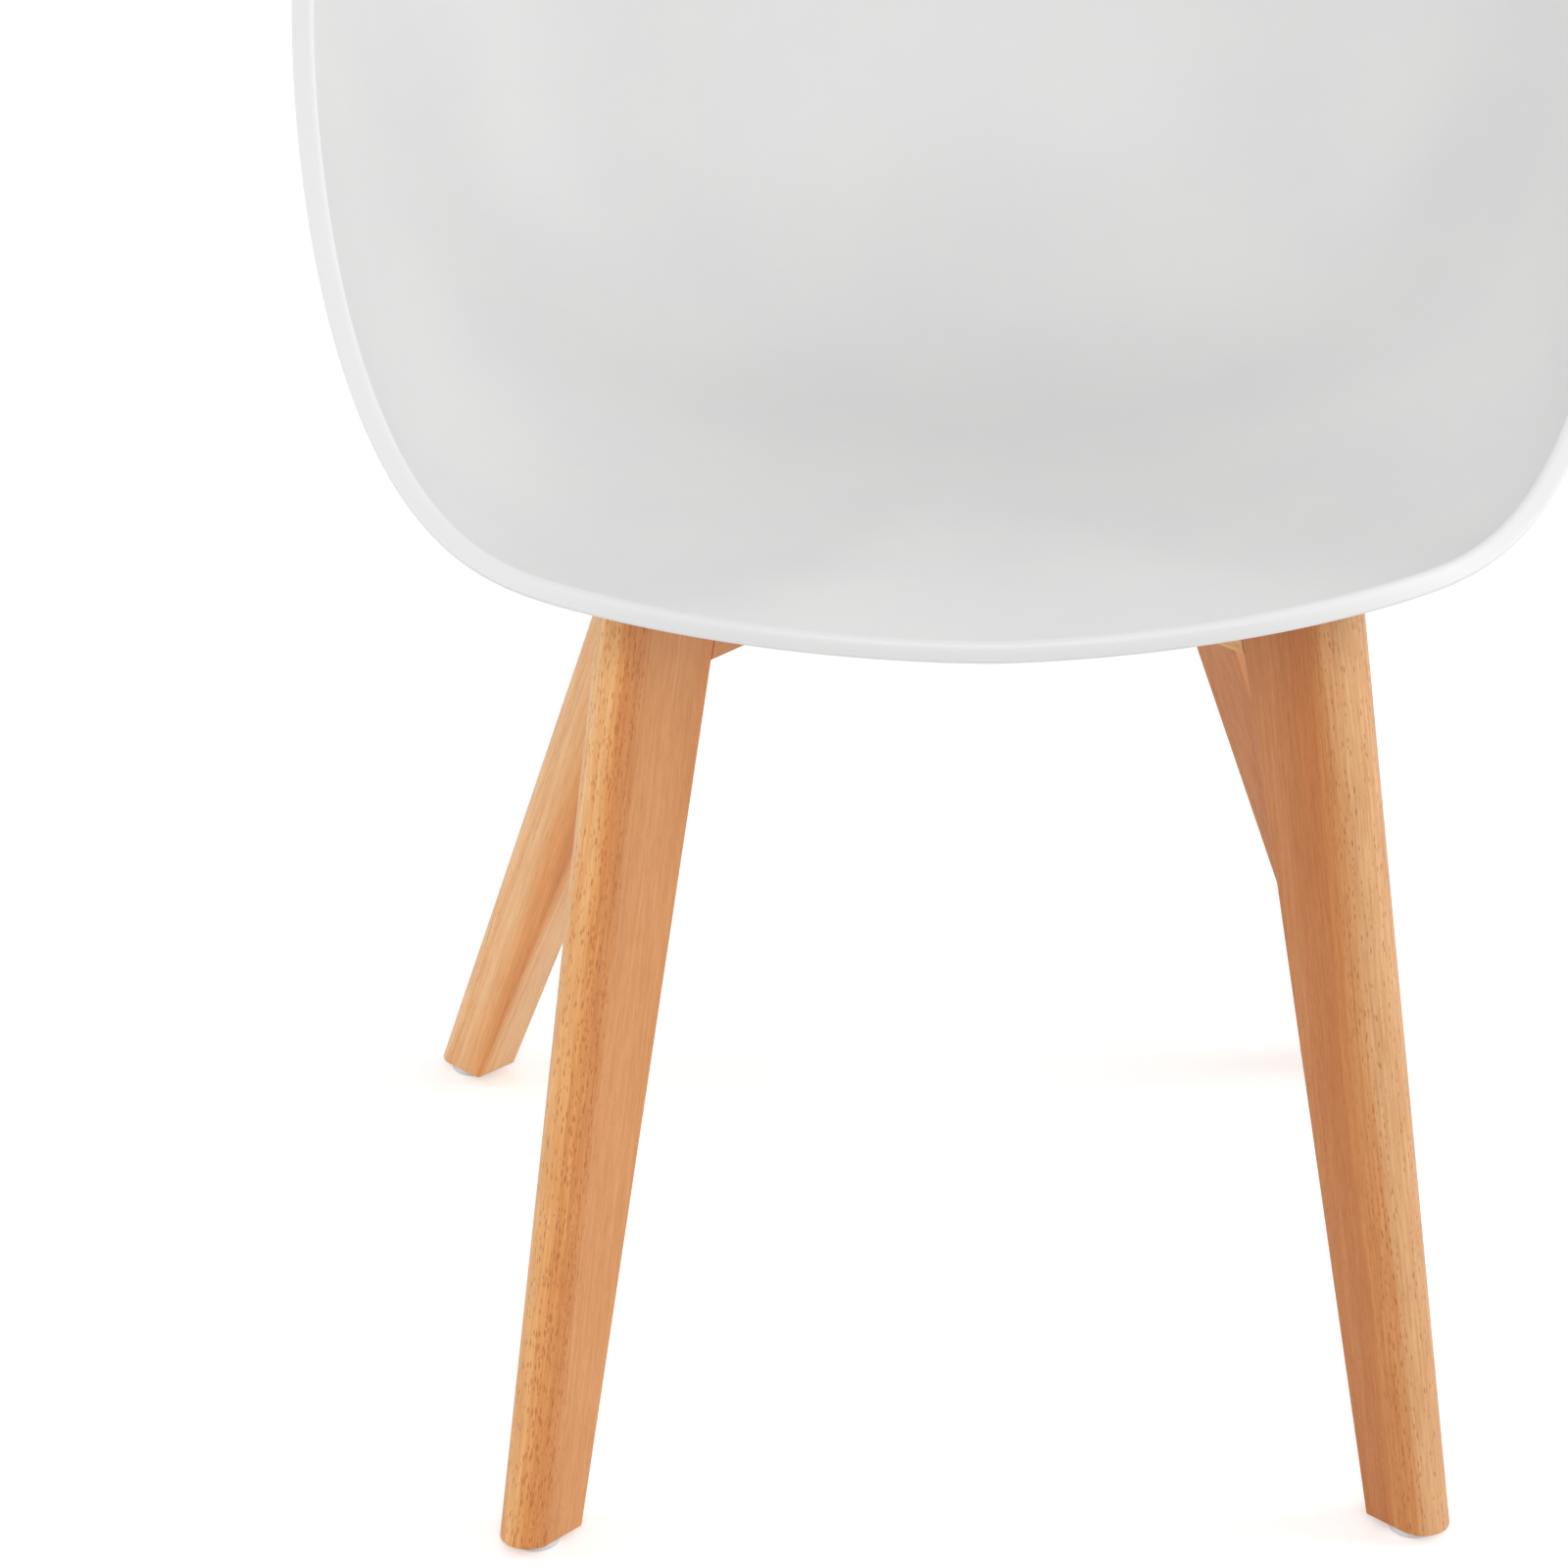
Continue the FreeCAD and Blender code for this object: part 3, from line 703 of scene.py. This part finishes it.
# Room: a wide white floor, and round it a white studio that the lens and shiny surfaces see at full strength.
# The floor keeps a faint shadow, is a little darker to other rays than to the lens, and is clear from below.
scene = bpy.context.scene
scene.view_settings.view_transform = "Standard"
half_floor = 7.0
floor_z = -0.0002
floor_bounce = (0.82, 0.82, 0.82, 1.0)
floor_glow = 0.3
room_light = 0.6
white = (1.0, 1.0, 1.0, 1.0)
floor_mesh = bpy.data.meshes.new("floor")
floor_mesh.from_pydata([(-half_floor, -half_floor, floor_z), (half_floor, -half_floor, floor_z),
                        (half_floor, half_floor, floor_z), (-half_floor, half_floor, floor_z)],
                       [], [(0, 1, 2, 3)])
floor = bpy.data.objects.new("floor", floor_mesh)
bpy.context.collection.objects.link(floor)
floor_finish, tree, shader = finish("white_floor", Roughness=0.9, Specular_IOR_Level=0.0,
                                    Emission_Color=white)
seen = add(tree, "LightPath").outputs["Is Camera Ray"]
tree.links.new(tinted(tree, floor_bounce, white, seen), shader.inputs["Base Color"])
tree.links.new(maths(tree, "MULTIPLY", seen, floor_glow), shader.inputs["Emission Strength"])
from_below = add(tree, "NewGeometry").outputs["Backfacing"]
tree.links.new(maths(tree, "SUBTRACT", 1.0, from_below), shader.inputs["Alpha"])
floor_mesh.materials.append(floor_finish)

world = bpy.data.worlds.new("studio")
scene.world = world
world.use_nodes = True
sky = world.node_tree
rays = add(sky, "LightPath")
mirrored = maths(sky, "MAXIMUM", rays.outputs["Is Glossy Ray"], rays.outputs["Is Transmission Ray"])
bright = maths(sky, "MAXIMUM", rays.outputs["Is Camera Ray"], mirrored)
sky.links.new(spread(sky, bright, 0.0, 1.0, room_light, 1.0), sky.nodes["Background"].inputs["Strength"])
sky.nodes["Background"].inputs["Color"].default_value = white
softbox_width = 1.6
chair_middle = Vector((0.0, 0.0, 0.4))


def softbox(name, place, watts):
    """Square soft lamp that looks at the middle of the chair."""
    lamp = bpy.data.lights.new(name, "AREA")
    lamp.shape = "SQUARE"
    lamp.size = softbox_width
    lamp.energy = watts
    stand = bpy.data.objects.new(name, lamp)
    bpy.context.collection.objects.link(stand)
    stand.location = place
    stand.rotation_euler = (chair_middle - Vector(place)).to_track_quat("-Z", "Y").to_euler()


softbox("front", (0.0, -3.2, 2.6), 33.0)
softbox("left", (-2.8, 0.0, 1.5), 11.5)
softbox("right", (2.8, 0.0, 1.5), 26.5)

# Camera: where the photograph was taken from, with a long lens, looking down at the seat
focal_pixels = 6147
photo_pixels = 1600
look_down = math.radians(24.67)
turn_about_z = math.radians(-1.62)
camera_data = bpy.data.cameras.new("camera")
camera_data.sensor_width = 36.0
camera_data.lens = focal_pixels * camera_data.sensor_width / photo_pixels
camera_data.clip_end = 50
camera = bpy.data.objects.new("camera", camera_data)
bpy.context.collection.objects.link(camera)
camera.location = (-0.150, -2.519, 1.423)
camera.rotation_euler = (math.pi / 2 - look_down, 0.0, turn_about_z)
scene.camera = camera
